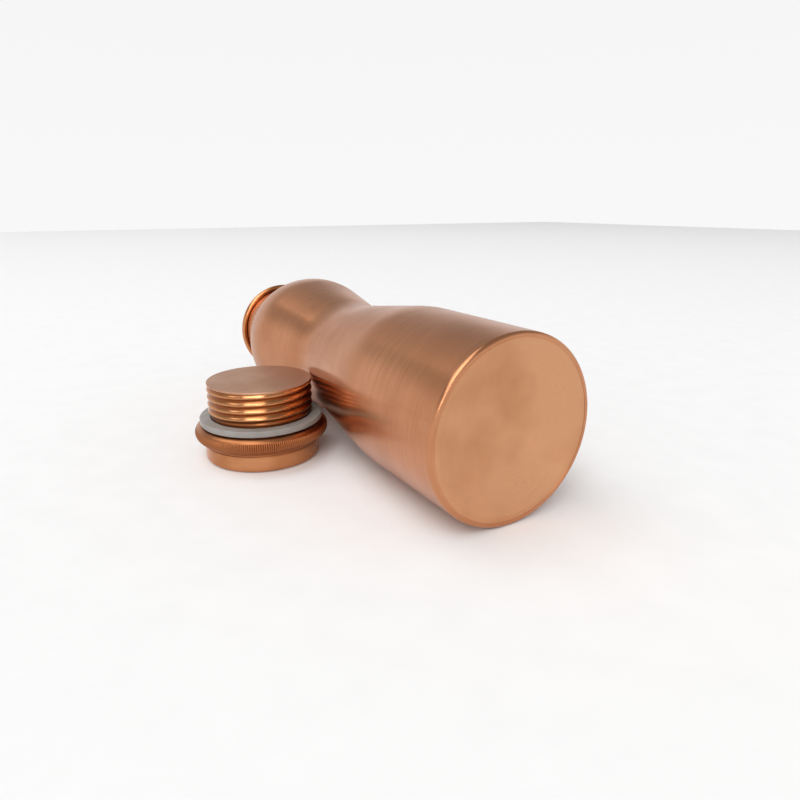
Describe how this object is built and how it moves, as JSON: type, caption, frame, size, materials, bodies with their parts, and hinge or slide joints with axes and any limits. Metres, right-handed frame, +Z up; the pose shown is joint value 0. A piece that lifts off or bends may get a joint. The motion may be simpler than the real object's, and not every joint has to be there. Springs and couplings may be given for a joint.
{
  "type": "copper water bottle with screw cap",
  "caption": "Spun copper water bottle with a waisted body, hollowed base and rolled lip, beside its loose screw cap with a washer.",
  "frame": {"origin": "on the table, under the middle of the overall box", "axes": "X along the lying bottle, base towards +X and mouth towards -X; +Z up; the cap stands on the -Y side"},
  "size_m": [0.2346, 0.1243, 0.075],
  "materials": {
    "copper_brushed": "satin copper, brushed round the axis",
    "copper_base": "satin copper, brushed in circles",
    "copper_collar": "bright copper, slightly tarnished",
    "copper_cap": "satin copper with a knurled band",
    "copper_thread": "bright rolled copper",
    "copper_disc": "matt copper",
    "braze": "brazing metal",
    "silicone": "translucent whitish silicone"
  },
  "bodies": {
    "bottle": {"body_shell": "copper_brushed", "base_dish": "copper_base", "base_braze_ring": "braze", "neck_collar": "copper_collar", "collar_braze_ring": "braze"},
    "cap": {"cap_shell": "copper_cap", "cap_plug_sleeve": "copper_thread", "cap_end_disc": "copper_disc", "sleeve_braze_ring": "braze", "disc_braze_ring": "braze"},
    "gasket": {"cap_gasket": "silicone"}
  },
  "joints": [
    {"name": "cap_lift", "type": "slide", "parent": "bottle", "child": "cap", "axis": [0, -0.6, 0.8], "range_m": [0, 0.12]},
    {"name": "gasket_turn", "type": "hinge", "parent": "cap", "child": "gasket", "pos_m": [-0.0032, -0.03055, 0.019], "axis": [0, 0, 1], "continuous": true}
  ]
}
